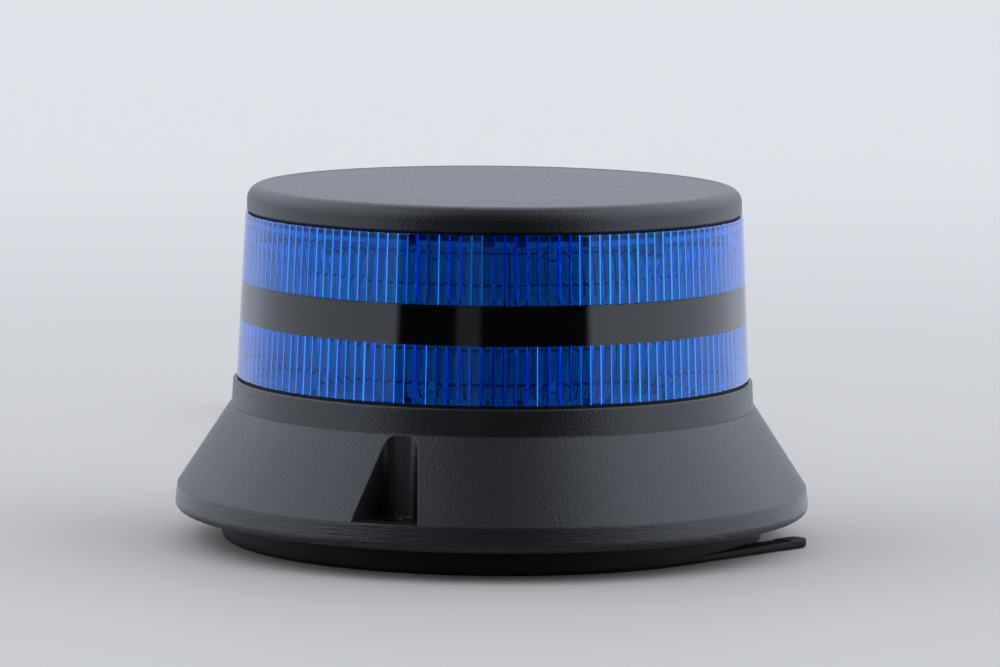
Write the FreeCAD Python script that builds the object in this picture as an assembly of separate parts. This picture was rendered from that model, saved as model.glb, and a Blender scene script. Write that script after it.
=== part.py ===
import FreeCAD, Part
import math
import os
from FreeCAD import Vector

# Low flashing warning light: blue lens ring on a skirted base, standing on a magnetic rubber foot.
# Millimetres. +Z is up, the front is towards -Y, the origin is the centre of the boot's bottom face.
# An azimuth is measured from the front (-Y) towards the right (+X), in degrees.

# Rubber boot, pull tab and magnets
boot_radius = 62.2
boot_floor = 1.6
boot_wall = 2.6
boot_top_gap = 0.3
boot_edge_round = 1.2
tab_azimuth = 46.0
tab_reach = 40.6
tab_width = 5.0
tab_tip_radius = 2.2
tab_lift = 0.3
tab_thickness = 1.7
tab_root_gap = 0.3
tab_edge_round = 0.5
magnet_count = 6
magnet_radius = 11.0
magnet_thickness = 2.4
magnet_circle = 38.0
magnet_clearance = 0.2
plate_thickness = 2.5
plate_clearance = 0.2
plate_screw_count = 4
plate_screw_circle = 21.0
plate_screw_radius = 2.0
plate_screw_head_radius = 3.8
plate_screw_head_height = 1.9
plate_screw_grip = 5.0
plate_boss_radius = 4.0
plate_boss_roof = 2.0

# Base housing
base_radius = 73.0
rim_height = 5.9
rim_lean = 0.5
rim_lower_round = 2.0
rim_upper_round = 0.8
skirt_height = 18.34
skirt_top_radius = 60.5
skirt_wall = 3.0
skirt_core_inset = 3.0
skirt_core_top_gap = 5.0
skirt_rib_count = 12
skirt_rib_thickness = 1.6
skirt_edge_round = 0.25
collar_step = 0.4
collar_height = 6.12
collar_lean = 0.35
collar_edge_round = 0.5
collar_wall = 4.2
lens_well_depth = 3.4
deck_thickness = 2.5
deck_hole_radius = 6.5
cavity_inset = 8.5

# Three open screw pockets in the skirt, on the usual three-hole circle
pocket_count = 3
pocket_azimuth = -19.0
pocket_back_gap = 0.1
pocket_back_width = 7.0
pocket_mouth_width = 16.4
pocket_corner_radius = 2.6
pocket_wall = 2.4
flange_circle = 65.0
flange_hole_radius = 2.75

# Cover under the base
cover_thickness = 2.5
cover_ledge = 3.0
cover_clearance = 0.2
cover_screw_count = 6
cover_screw_azimuth = 11.0
cover_screw_inset = 3.0
cover_screw_radius = 1.5
cover_screw_head_radius = 2.9
cover_screw_head_height = 1.4
cover_boss_radius = 3.6
cover_boss_height = 12.0
cover_seal_width = 1.4
cover_seal_height = 1.0
cover_seal_inset = 0.7
thread_clearance = 0.05
shank_clearance = 0.2

# Lens, flute rings and centre band
lens_setback = 0.71
lens_top_radius = 57.2
lens_height = 37.7
lens_wall = 2.4
lens_gasket_thickness = 0.54
cap_gasket_thickness = 0.5
gasket_inset = 0.5
ring_clearance = 0.1
lower_zone_height = 13.3
band_height = 8.6
band_thickness = 2.0
flute_count = 144
flute_depth = 0.55
flute_wall = 0.9

# Cap
cap_setback = 0.4
cap_side_height = 2.4
cap_shoulder_width = 4.3
cap_shoulder_height = 3.05
cap_shoulder_bulge = 0.24
cap_wall = 2.4
cap_roof = 2.4
cap_crown_slope = 14.0
cap_crown_rise = 0.35
cap_boss_radius = 4.6
cap_boss_drop = 2.6

# Optical head
column_radius = 22.0
column_bore_radius = 8.0
sink_flange_radius = 50.0
sink_flange_thickness = 3.0
led_board_thickness = 1.6
led_board_clearance = 0.3
led_count = 12
led_circle = 38.0
led_side = 3.6
led_height = 0.9
led_window_side = 2.6
led_window_height = 0.4
reflector_foot_gap = 1.2
reflector_foot_width = 4.0
reflector_foot_thickness = 1.5
reflector_rise = 13.9
reflector_bend_out = 0.27
reflector_bend_up = 0.69
reflector_shell = 1.2
reflector_fin_thickness = 1.0
reflector_fin_depth = 4.0
reflector_gap = 1.6
clamp_screw_count = 3
clamp_screw_azimuth = 41.0
clamp_screw_circle = 14.0
clamp_screw_radius = 2.0
clamp_head_radius = 3.6
clamp_head_height = 2.8
clamp_socket_radius = 1.5
clamp_socket_depth = 1.6
clamp_grip = 5.0

# Driver board in the base
board_clearance = 1.4
board_thickness = 1.6
standoff_count = 3
standoff_azimuth = 41.0
standoff_inset = 8.0
standoff_radius = 3.0
standoff_height = 9.0
board_screw_radius = 1.5
board_screw_head_radius = 2.8
board_screw_head_height = 1.8
board_screw_grip = 5.0
capacitor_radius = 5.0
capacitor_height = 9.5
capacitor_edge_round = 0.6
capacitor_inset = 14.0
choke_outer_radius = 7.0
choke_inner_radius = 3.2
choke_height = 6.0
chip_length = 10.0
chip_width = 7.0
chip_height = 2.0
socket_length = 12.0
socket_width = 6.0
socket_height = 7.0
part_circle = 22.0
capacitor_azimuths = (81.0, 121.0)
choke_azimuth = 221.0
chip_azimuth = 321.0
harness_radius = 2.4

# Cable exit at the back
exit_azimuth = 161.0
exit_height = 20.0
exit_boss_radius = 7.5
exit_boss_setback = 2.0
gland_shank_radius = 4.6
gland_inner_reach = 2.0
gland_flange_radius = 7.0
gland_flange_thickness = 3.5
relief_length = 23.0
relief_root_radius = 5.4
relief_tip_radius = 4.0
relief_ring_count = 5
relief_ring_depth = 0.6
wire_radius = 0.9
wire_spacing = 3.0
wire_length = 5.5

# Cable, coil and tie
cable_diameter = 6.0
cable_bend_share = 0.45
coil_centre_y = 150.0
coil_inner_turn = 24.5
coil_turns_per_layer = 5
coil_layers = 2
coil_edge_round = 2.4
tie_width = 10.0
tie_thickness = 0.9
tie_overhang = 0.5

# Route of the cable from the strain relief to the coil, then from the coil to the plug
lead_points = [(36.8, 106.6, 18.9), (41.3, 119.8, 16.0), (45.2, 132.6, 12.4), (47.7, 145.3, 9.6),
               (48.5, 156.0, 9.0)]
tail_points = [(48.5, 150.0, 3.0), (52.8, 163.3, 3.0), (55.7, 177.0, 3.0), (55.2, 191.0, 3.4),
               (50.0, 204.0, 5.4), (40.3, 214.1, 8.6), (27.5, 219.8, 11.2), (14.5, 220.7, 12.0)]

# Accessory plug on the end of the cable
plug_relief_length = 15.0
plug_relief_tip_radius = 4.2
plug_relief_root_radius = 5.8
plug_shoulder_length = 3.0
plug_grip_length = 25.0
plug_grip_radius = 12.0
plug_grip_ring_count = 4
plug_grip_ring_depth = 0.8
plug_grip_ring_width = 2.0
plug_barrel_length = 26.0
plug_barrel_radius = 10.3
plug_bore_radius = 5.0
plug_nose_length = 5.0
plug_nose_radius = 9.2
plug_nose_tip_radius = 7.6
plug_fuse_radius = 3.1
plug_fuse_length = 30.0
plug_fuse_cap_length = 5.0
plug_fuse_glass_inset = 0.3
plug_tip_radius = 3.1
plug_tip_fit = 0.05
plug_tip_reach = 4.6
plug_tip_flange_radius = 4.5
plug_tip_flange_thickness = 1.6
plug_tip_seat_gap = 0.1
plug_spring_length = 9.7
plug_spring_wall = 1.2
plug_spring_fit = 0.4
contact_length = 15.0
contact_width = 4.8
contact_thickness = 0.6
contact_proud = 1.0
contact_bow = 2.6
contact_side_gap = 0.4
contact_end_gap = 1.0
contact_travel = 0.8
contact_floor_gap = 0.4

# Levels that follow from the sizes above
plate_bottom = boot_floor + magnet_thickness
base_bottom = plate_bottom + plate_thickness
cover_top = base_bottom + cover_thickness
rim_top = base_bottom + rim_height
collar_bottom = rim_top + skirt_height
collar_top = collar_bottom + collar_height
deck_top = collar_top - lens_well_depth
deck_bottom = deck_top - deck_thickness
lens_bottom = collar_top + lens_gasket_thickness
lens_top = lens_bottom + lens_height
cap_bottom = lens_top + cap_gasket_thickness
shoulder_bottom = cap_bottom + cap_side_height
shoulder_top = shoulder_bottom + cap_shoulder_height
column_top = cap_bottom - cap_boss_drop
band_bottom = lens_bottom + lower_zone_height
band_top = band_bottom + band_height
optics_middle = band_bottom + band_height / 2
board_bottom = cover_top + standoff_height
board_top = board_bottom + board_thickness

# Radii that follow from the sizes above
rim_top_radius = base_radius - rim_lean
collar_bottom_radius = skirt_top_radius - collar_step
collar_top_radius = collar_bottom_radius - collar_lean
skirt_core_radius = skirt_top_radius - skirt_core_inset
cavity_radius = skirt_top_radius - cavity_inset
cover_opening_radius = cavity_radius + cover_ledge
cover_radius = cover_opening_radius - cover_clearance
cover_screw_circle = cavity_radius - cover_screw_inset
board_radius = cover_screw_circle - cover_boss_radius - board_clearance
standoff_circle = board_radius - standoff_inset
capacitor_circle = board_radius - capacitor_inset
lens_bottom_radius = collar_top_radius - lens_setback
lens_least_radius = min(lens_bottom_radius, lens_top_radius)
cap_radius = lens_top_radius - cap_setback
exit_boss_reach = base_radius - exit_boss_setback
pocket_back = skirt_top_radius + pocket_back_gap
plate_radius = boot_radius - boot_wall - plate_clearance
tab_inner = boot_radius - tab_width
tab_root = math.sqrt((boot_radius + tab_root_gap) ** 2 - tab_inner ** 2)
tab_top = tab_lift + tab_thickness
cable_radius = cable_diameter / 2
relief_start = exit_boss_reach + gland_flange_thickness
relief_end = relief_start + relief_length

up = Vector(0, 0, 1)
slant = math.sqrt(0.5)


def radial(azimuth, radius, z=0.0):
    angle = math.radians(azimuth)
    return Vector(radius * math.sin(angle), -radius * math.cos(angle), z)


def in_section(point):
    return Vector(point[0], 0, point[1])


def in_plan(point):
    return Vector(point[0], point[1], 0)


def outline_face(outline, place):
    # An entry is a corner, or a pair of points that gives an arc: a point on it and its end
    edges = []
    here = outline[0]
    for entry in outline[1:] + [outline[0]]:
        if isinstance(entry[0], tuple):
            edges.append(Part.Arc(place(here), place(entry[0]), place(entry[1])).toShape())
            here = entry[1]
        elif entry != here:
            edges.append(Part.LineSegment(place(here), place(entry)).toShape())
            here = entry
    return Part.Face(Part.Wire(edges))


def revolved(outline):
    return outline_face(outline, in_section).revolve(Vector(0, 0, 0), up, 360)


def disc(radius, bottom, top, centre=Vector(0, 0, 0)):
    return Part.makeCylinder(radius, top - bottom, Vector(centre.x, centre.y, bottom))


def ring(inner, outer, bottom, top):
    return disc(outer, bottom, top).cut(disc(inner, bottom, top))


def block(length, width, bottom, top):
    return Part.makeBox(length, width, top - bottom, Vector(-length / 2, -width / 2, bottom))


def turned(shape, azimuth):
    copy = shape.copy()
    copy.rotate(Vector(0, 0, 0), up, azimuth)
    return copy


def pattern(shape, count, first_azimuth=0.0):
    # Copies of a shape that was made at the front, evenly spaced round the axis
    return [turned(shape, first_azimuth + 360.0 / count * index) for index in range(count)]


def at_front(radius):
    return radial(0.0, radius)


def vertical_edges(shape, test):
    found = []
    for edge in shape.Edges:
        ends = [vertex.Point for vertex in edge.Vertexes]
        if len(ends) < 2:
            continue
        sideways = abs(ends[0].x - ends[1].x) + abs(ends[0].y - ends[1].y)
        if sideways < 1e-6 and test(ends[0]):
            found.append(edge)
    return found


def edges_at_level(shape, level):
    return [edge for edge in shape.Edges
            if abs(edge.BoundBox.ZMin - level) < 1e-6 and abs(edge.BoundBox.ZMax - level) < 1e-6]


def write(name, shape):
    shape = shape if isinstance(shape, Part.Shape) else Part.makeCompound(shape)
    if not shape.isValid():
        print("not valid:", name)
    shape.exportStep("parts/" + name + ".step")
    print(name, len(shape.Solids), "solids", round(shape.Volume, 1), "mm3")


# Rubber boot with its pull tab
def strip(start, end, bottom, top):
    # Straight strip along the boot's tangent at the front, going towards +X
    return Part.makeBox(end - start, tab_width, top - bottom, Vector(start, -boot_radius, bottom))


def rubber_boot():
    boot_top = base_bottom - boot_top_gap
    body = disc(boot_radius, 0.0, boot_top)
    body = body.makeFillet(boot_edge_round, edges_at_level(body, 0.0))
    body = body.fuse(strip(0.0, tab_root - tab_root_gap, tab_lift, tab_top)).removeSplitter()
    body = body.cut(disc(boot_radius - boot_wall, plate_bottom, boot_top))
    recess = disc(magnet_radius + magnet_clearance, boot_floor, plate_bottom, at_front(magnet_circle))
    for hollow in pattern(recess, magnet_count):
        body = body.cut(hollow)
    return turned(body, tab_azimuth)


def pull_tab():
    tab = strip(tab_root, tab_reach, tab_lift, tab_top)
    tab = tab.makeFillet(tab_tip_radius, vertical_edges(tab, lambda point: point.x > tab_root))
    rounded = edges_at_level(tab, tab_lift) + edges_at_level(tab, tab_top)
    free = [edge for edge in rounded if edge.BoundBox.XMax > tab_root + tab_edge_round]
    return turned(tab.makeFillet(tab_edge_round, free), tab_azimuth)


# Magnets and the steel plate that they hang on
def countersunk_screw(radius, head_radius, head_height, bottom, top):
    head = Part.makeCone(head_radius, radius, head_height, Vector(0, 0, bottom))
    return head.fuse(disc(radius, bottom + head_height, top)).removeSplitter()


def countersunk_hole(radius, head_radius, head_height, bottom, top):
    wide = shank_clearance
    return countersunk_screw(radius + wide, head_radius + wide, head_height, bottom, top)


def moved_to(shape, place):
    copy = shape.copy()
    copy.translate(place)
    return copy


def magnets():
    magnet = disc(magnet_radius, boot_floor, plate_bottom, at_front(magnet_circle))
    return pattern(magnet, magnet_count, tab_azimuth)


def magnet_plate():
    plate = disc(plate_radius, plate_bottom, base_bottom)
    hole = countersunk_hole(plate_screw_radius, plate_screw_head_radius, plate_screw_head_height,
                            plate_bottom, base_bottom)
    for cut in pattern(moved_to(hole, at_front(plate_screw_circle)), plate_screw_count):
        plate = plate.cut(cut)
    return plate


def plate_screws():
    screw = countersunk_screw(plate_screw_radius, plate_screw_head_radius, plate_screw_head_height,
                              plate_bottom, cover_top + plate_screw_grip)
    return pattern(moved_to(screw, at_front(plate_screw_circle)), plate_screw_count)


# Cover that closes the base from below
def base_cover():
    cover = disc(cover_radius, base_bottom, cover_top)
    boss_top = cover_top + plate_screw_grip + plate_boss_roof
    boss = disc(plate_boss_radius, cover_top, boss_top, at_front(plate_screw_circle))
    for solid in pattern(boss, plate_screw_count):
        cover = cover.fuse(solid)
    thread = disc(plate_screw_radius + thread_clearance, base_bottom,
                  cover_top + plate_screw_grip + thread_clearance, at_front(plate_screw_circle))
    for hole in pattern(thread, plate_screw_count):
        cover = cover.cut(hole)
    hole = countersunk_hole(cover_screw_radius, cover_screw_head_radius, cover_screw_head_height,
                            base_bottom, cover_top)
    for cut in pattern(moved_to(hole, at_front(cover_screw_circle)), cover_screw_count, cover_screw_azimuth):
        cover = cover.cut(cut)
    seal_outer = cover_radius - cover_seal_inset
    groove = ring(seal_outer - cover_seal_width, seal_outer, cover_top - cover_seal_height, cover_top)
    return cover.cut(groove).removeSplitter()


def cover_seal():
    seal_outer = cover_radius - cover_seal_inset
    return ring(seal_outer - cover_seal_width, seal_outer, cover_top - cover_seal_height, cover_top)


def cover_screws():
    screw = countersunk_screw(cover_screw_radius, cover_screw_head_radius, cover_screw_head_height,
                              base_bottom, cover_top + cover_boss_height / 2)
    return pattern(moved_to(screw, at_front(cover_screw_circle)), cover_screw_count, cover_screw_azimuth)


# Base housing with collar, skirt and screw pockets
def skirt_radius_at(z):
    share = (z - rim_top) / skirt_height
    return rim_top_radius + (skirt_top_radius - rim_top_radius) * share


def pocket_plan(margin, bottom, top):
    # Flared slot seen from above, mouth towards -Y, widened on every side by the margin
    back = pocket_back - margin
    mouth = base_radius + 2 * pocket_wall
    flare = (pocket_mouth_width - pocket_back_width) / 2 / (base_radius - pocket_back)
    half_back = pocket_back_width / 2 + margin
    half_mouth = half_back + flare * (mouth - back)
    outline = [(-half_back, -back), (half_back, -back), (half_mouth, -mouth), (-half_mouth, -mouth)]
    slot = outline_face(outline, in_plan).extrude(Vector(0, 0, top - bottom))
    slot.translate(Vector(0, 0, bottom))
    corners = vertical_edges(slot, lambda point: abs(point.y + back) < 1e-6)
    return slot.makeFillet(pocket_corner_radius, corners)


def skirt_core():
    # Space under the skirt, between its ribs and clear of the pockets
    core_top = collar_bottom - skirt_core_top_gap
    core = revolved([(skirt_core_radius, base_bottom), (base_radius - skirt_wall, base_bottom),
                     (rim_top_radius - skirt_wall, rim_top),
                     (skirt_radius_at(core_top) - skirt_wall, core_top), (skirt_core_radius, core_top)])
    rib = Part.makeBox(skirt_rib_thickness, base_radius, core_top - base_bottom,
                       Vector(-skirt_rib_thickness / 2, -base_radius, base_bottom))
    pocket = pocket_plan(pocket_wall, base_bottom, core_top)
    keep = pattern(rib, skirt_rib_count, exit_azimuth) + pattern(pocket, pocket_count, pocket_azimuth)
    return core.cut(keep[0].multiFuse(keep[1:]))


def along_exit(shape):
    # From its own axis, standing on the origin, to the cable exit's axis
    placed = shape.copy()
    axis = FreeCAD.Placement(Vector(0, 0, exit_height), FreeCAD.Rotation(up, radial(exit_azimuth, 1.0)))
    placed.Placement = axis.multiply(placed.Placement)
    return placed


def base_housing():
    on_round = rim_lower_round * (1 - slant)
    shell = revolved([(0.0, base_bottom), (base_radius - rim_lower_round, base_bottom),
                      ((base_radius - on_round, base_bottom + on_round),
                       (base_radius, base_bottom + rim_lower_round)),
                      (rim_top_radius, rim_top), (skirt_top_radius, collar_bottom),
                      (collar_bottom_radius, collar_bottom), (collar_top_radius, collar_top),
                      (0.0, collar_top)])
    shell = shell.makeFillet(rim_upper_round, edges_at_level(shell, rim_top))
    shell = shell.makeFillet(collar_edge_round, edges_at_level(shell, collar_top))
    skirt_edge = [edge for edge in edges_at_level(shell, collar_bottom)
                  if edge.BoundBox.XMax > collar_bottom_radius + collar_step / 2]
    shell = shell.makeFillet(skirt_edge_round, skirt_edge)
    shell = shell.cut(skirt_core())
    shell = shell.fuse(along_exit(disc(exit_boss_radius, cavity_radius, exit_boss_reach)))
    shell = shell.cut(disc(collar_top_radius - collar_wall, deck_top, collar_top))
    shell = shell.cut(disc(cavity_radius, cover_top, deck_bottom))
    shell = shell.cut(disc(cover_opening_radius, base_bottom, cover_top))
    boss = disc(cover_boss_radius, cover_top, cover_top + cover_boss_height, at_front(cover_screw_circle))
    for solid in pattern(boss, cover_screw_count, cover_screw_azimuth):
        shell = shell.fuse(solid)
    thread = disc(cover_screw_radius + thread_clearance, cover_top, cover_top + cover_boss_height / 2,
                  at_front(cover_screw_circle))
    clamp = disc(clamp_screw_radius + shank_clearance, deck_bottom, deck_top, at_front(clamp_screw_circle))
    pocket = pocket_plan(0.0, rim_top, collar_top)
    flange = disc(flange_hole_radius, base_bottom, rim_top, at_front(flange_circle))
    cuts = pattern(thread, cover_screw_count, cover_screw_azimuth)
    cuts += pattern(clamp, clamp_screw_count, clamp_screw_azimuth)
    cuts += pattern(pocket, pocket_count, pocket_azimuth)
    cuts += pattern(flange, pocket_count, pocket_azimuth)
    cuts.append(disc(deck_hole_radius, deck_bottom, deck_top))
    cuts.append(along_exit(disc(gland_shank_radius + thread_clearance, cavity_radius / 2, exit_boss_reach)))
    cuts.append(along_exit(disc(gland_flange_radius + shank_clearance, exit_boss_reach, relief_end)))
    for cut in cuts:
        shell = shell.cut(cut)
    return shell.removeSplitter()


# Cable gland, strain relief and the two wires inside
def cable_gland():
    inner_end = cavity_radius - gland_inner_reach
    shank = disc(gland_shank_radius, inner_end, exit_boss_reach)
    return along_exit(shank.fuse(disc(gland_flange_radius, exit_boss_reach, relief_start)).removeSplitter())


def tapered_relief(start, length, root_radius, tip_radius, ring_count, ring_depth):
    # Tapered sleeve with ring grooves, standing on its own axis, root at the start
    pitch = length / (2 * ring_count + 1)
    outline = [(0.0, start), (root_radius, start)]
    for index in range(ring_count):
        for step in (1, 2):
            along = (2 * index + step) * pitch
            radius = root_radius + (tip_radius - root_radius) * along / length
            groove = radius - ring_depth
            if step == 1:
                outline += [(radius, start + along), (groove, start + along)]
            else:
                outline += [(groove, start + along), (radius, start + along)]
    outline += [(tip_radius, start + length), (0.0, start + length)]
    return revolved(outline)


def strain_relief():
    return along_exit(tapered_relief(relief_start, relief_length, relief_root_radius, relief_tip_radius,
                                     relief_ring_count, relief_ring_depth))


def inner_wires():
    inner_end = cavity_radius - gland_inner_reach
    wires = []
    for side in (-0.5, 0.5):
        wire = disc(wire_radius, inner_end - wire_length, inner_end, Vector(0, side * wire_spacing, 0))
        wires.append(along_exit(wire))
    return wires


# Driver board and what stands on it
def board_standoffs():
    post = disc(standoff_radius, cover_top, board_bottom, at_front(standoff_circle))
    hole = disc(board_screw_radius + thread_clearance, board_bottom - board_screw_grip - thread_clearance,
                board_bottom, at_front(standoff_circle))
    return pattern(post.cut(hole), standoff_count, standoff_azimuth)


def driver_board():
    board = disc(board_radius, board_bottom, board_top)
    hole = disc(board_screw_radius + shank_clearance, board_bottom, board_top, at_front(standoff_circle))
    for cut in pattern(hole, standoff_count, standoff_azimuth):
        board = board.cut(cut)
    return board


def board_screws():
    place = at_front(standoff_circle)
    head = disc(board_screw_head_radius, board_top, board_top + board_screw_head_height, place)
    shank = disc(board_screw_radius, board_bottom - board_screw_grip, board_top, place)
    return pattern(head.fuse(shank).removeSplitter(), standoff_count, standoff_azimuth)


def driver_components():
    can = disc(capacitor_radius, board_top, board_top + capacitor_height, at_front(capacitor_circle))
    can = can.makeFillet(capacitor_edge_round, edges_at_level(can, board_top + capacitor_height))
    choke = ring(choke_inner_radius, choke_outer_radius, board_top, board_top + choke_height)
    chip = block(chip_length, chip_width, board_top, board_top + chip_height)
    socket = block(socket_length, socket_width, board_top, board_top + socket_height)
    placed = [turned(can, azimuth) for azimuth in capacitor_azimuths]
    placed.append(turned(moved_to(choke, at_front(part_circle)), choke_azimuth))
    placed.append(turned(moved_to(chip, at_front(part_circle)), chip_azimuth))
    placed.append(socket)
    return placed


def led_harness():
    return disc(harness_radius, board_top + socket_height, optics_middle)


# Heat sink, light boards and reflectors
def heat_sink():
    sink = disc(column_radius, deck_top, column_top)
    half = sink_flange_thickness / 2
    sink = sink.fuse(disc(sink_flange_radius, optics_middle - half, optics_middle + half)).removeSplitter()
    sink = sink.cut(disc(column_bore_radius, deck_top, column_top))
    hole = disc(clamp_screw_radius + shank_clearance, deck_top, column_top, at_front(clamp_screw_circle))
    for cut in pattern(hole, clamp_screw_count, clamp_screw_azimuth):
        sink = sink.cut(cut)
    return sink


def on_side(shape, side):
    # Made upwards from zero, then set on the upper or the lower face of the light boards' flange
    placed = shape.copy()
    if side < 0:
        placed = placed.mirror(Vector(0, 0, 0), up)
    placed.translate(Vector(0, 0, optics_middle + side * sink_flange_thickness / 2))
    return placed


def led_board(side):
    board = ring(column_radius + led_board_clearance, sink_flange_radius, 0.0, led_board_thickness)
    return on_side(board, side)


def leds(side):
    body = block(led_side, led_side, led_board_thickness, led_board_thickness + led_height)
    window_top = led_board_thickness + led_height + led_window_height
    window = block(led_window_side, led_window_side, led_board_thickness + led_height, window_top)
    led = moved_to(body.fuse(window).removeSplitter(), at_front(led_circle))
    return [on_side(copy, side) for copy in pattern(led, led_count)]


def reflector(side):
    foot = column_radius + reflector_foot_gap
    root = foot + reflector_foot_width
    lip = lens_least_radius - lens_wall - ring_clearance - flute_wall - flute_depth - reflector_gap
    floor = led_board_thickness
    top = floor + reflector_rise
    bend = (root + reflector_bend_out * (lip - root), floor + reflector_bend_up * reflector_rise)
    back = (bend[0] - slant * reflector_shell, bend[1] + slant * reflector_shell)
    shell = revolved([(foot, floor), (root, floor), (bend, (lip, top)), (lip, top + reflector_shell),
                      (back, (root - reflector_shell, floor + reflector_foot_thickness)),
                      (foot, floor + reflector_foot_thickness)])
    depth = reflector_fin_depth
    inner = (bend[0] + slant * depth, bend[1] - slant * depth)
    fin_face = outline_face([(root, floor), (bend, (lip, top)), (lip, top - depth),
                             (inner, (root + depth, floor))], in_section)
    fin = fin_face.extrude(Vector(0, reflector_fin_thickness, 0))
    fin.translate(Vector(0, -reflector_fin_thickness / 2, 0))
    fins = pattern(fin, led_count, 360.0 / led_count / 2)
    return on_side(shell.multiFuse(fins).removeSplitter(), side)


# Lens ring, flute rings, centre band and gaskets
def lens_radius_at(z):
    share = (z - lens_bottom) / lens_height
    return lens_bottom_radius + (lens_top_radius - lens_bottom_radius) * share


def lens_ring():
    return revolved([(lens_bottom_radius - lens_wall, lens_bottom), (lens_bottom_radius, lens_bottom),
                     (lens_top_radius, lens_top), (lens_top_radius - lens_wall, lens_top)])


def lens_lining(inner, bottom, top):
    # Tapered ring just inside the lens
    outer_bottom = lens_radius_at(bottom) - lens_wall - ring_clearance
    outer_top = lens_radius_at(top) - lens_wall - ring_clearance
    return revolved([(inner, bottom), (outer_bottom, bottom), (outer_top, top), (inner, top)])


def flute_ring(bottom, top):
    # Flutes that stand inwards as fine prisms, cut as one toothed opening
    valley = min(lens_radius_at(bottom), lens_radius_at(top)) - lens_wall - ring_clearance - flute_wall
    crest = valley - flute_depth
    pitch = 360.0 / flute_count
    edges = []
    for index in range(flute_count):
        azimuth = index * pitch
        foot, tip, next_foot = [radial(azimuth + turn, reach, bottom)
                                for turn, reach in ((0.0, valley), (pitch / 2, crest), (pitch, valley))]
        edges.append(Part.LineSegment(foot, tip).toShape())
        edges.append(Part.LineSegment(tip, next_foot).toShape())
    opening = Part.Face(Part.Wire(edges)).extrude(Vector(0, 0, top - bottom))
    outer_bottom = lens_radius_at(bottom) - lens_wall - ring_clearance
    outer_top = lens_radius_at(top) - lens_wall - ring_clearance
    body = Part.makeCone(outer_bottom, outer_top, top - bottom, Vector(0, 0, bottom))
    return body.cut(opening)


def centre_band():
    inner = min(lens_radius_at(band_bottom), lens_radius_at(band_top)) - lens_wall - ring_clearance
    return lens_lining(inner - band_thickness, band_bottom, band_top)


def lens_gasket():
    return ring(lens_bottom_radius - lens_wall, lens_bottom_radius - gasket_inset, collar_top, lens_bottom)


def cap_gasket():
    return ring(lens_top_radius - lens_wall, cap_radius - gasket_inset, lens_top, cap_bottom)


# Cap and the screws that clamp it down
def top_cap():
    flat_radius = cap_radius - cap_shoulder_width
    crown_radius = flat_radius - cap_crown_slope
    inner_radius = cap_radius - cap_wall
    roof_under = shoulder_top - cap_roof
    shoulder = (cap_radius - cap_shoulder_bulge * cap_shoulder_width,
                shoulder_bottom + (1 - cap_shoulder_bulge) * cap_shoulder_height)
    cap = revolved([(0.0, roof_under), (inner_radius - cap_roof, roof_under),
                    (inner_radius, roof_under - cap_roof / 2), (inner_radius, cap_bottom),
                    (cap_radius, cap_bottom), (cap_radius, shoulder_bottom),
                    (shoulder, (flat_radius, shoulder_top)), (crown_radius, shoulder_top + cap_crown_rise),
                    (0.0, shoulder_top + cap_crown_rise)])
    boss = disc(cap_boss_radius, column_top, roof_under, at_front(clamp_screw_circle))
    for solid in pattern(boss, clamp_screw_count, clamp_screw_azimuth):
        cap = cap.fuse(solid)
    thread = disc(clamp_screw_radius + thread_clearance, column_top,
                  column_top + clamp_grip + thread_clearance, at_front(clamp_screw_circle))
    for cut in pattern(thread, clamp_screw_count, clamp_screw_azimuth):
        cap = cap.cut(cut)
    return cap.removeSplitter()


def clamp_screws():
    head_bottom = deck_bottom - clamp_head_height
    head = disc(clamp_head_radius, head_bottom, deck_bottom)
    head = head.cut(disc(clamp_socket_radius, head_bottom, head_bottom + clamp_socket_depth))
    screw = head.fuse(disc(clamp_screw_radius, deck_bottom, column_top + clamp_grip)).removeSplitter()
    return pattern(moved_to(screw, at_front(clamp_screw_circle)), clamp_screw_count, clamp_screw_azimuth)


# Cable along its route, coil and tie
def cable_tube(name, points):
    # Straight runs joined by tangent arcs, each as large as its two runs allow
    corners = [Vector(*point) for point in points]
    path = []
    radii = []
    here = corners[0]
    for before, corner, after in zip(corners, corners[1:], corners[2:]):
        to_before = (before - corner).normalize()
        to_after = (after - corner).normalize()
        trim = cable_bend_share * min((before - corner).Length, (after - corner).Length)
        half_turn = (math.pi - to_before.getAngle(to_after)) / 2
        radius = trim / math.tan(half_turn)
        start = corner + to_before * trim
        end = corner + to_after * trim
        bisector = (to_before + to_after).normalize()
        middle = corner + bisector * (radius / math.cos(half_turn) - radius)
        path.append(Part.LineSegment(here, start).toShape())
        path.append(Part.Arc(start, middle, end).toShape())
        radii.append(round(radius, 1))
        here = end
    path.append(Part.LineSegment(here, corners[-1]).toShape())
    spine = Part.Wire(path)
    section = Part.Wire([Part.makeCircle(cable_radius, corners[0], corners[1] - corners[0])])
    tube = spine.makePipeShell([section], True, False)
    expected = math.pi * cable_radius ** 2 * spine.Length
    print(name, "bend radii", radii, "length", round(spine.Length, 1))
    print(name, "volume ratio", round(tube.Volume / expected, 4))
    return tube


def cable_lead():
    return cable_tube("cable_lead", [tuple(radial(exit_azimuth, relief_end, exit_height))] + lead_points)


def cable_tail():
    return cable_tube("cable_tail", tail_points)


def coil_section():
    inner = coil_inner_turn - cable_radius
    outer = inner + coil_turns_per_layer * cable_diameter
    return inner, outer, coil_layers * cable_diameter


def coil_tie():
    inner, outer, height = coil_section()
    left = -outer - tie_overhang
    near = coil_centre_y - tie_width / 2
    length = outer - inner + 2 * tie_overhang
    outside = Part.makeBox(length, tie_width, height + tie_overhang, Vector(left, near, 0))
    core = Part.makeBox(length - 2 * tie_thickness, tie_width, height + tie_overhang - 2 * tie_thickness,
                        Vector(left + tie_thickness, near, tie_thickness))
    return outside.cut(core)


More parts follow.
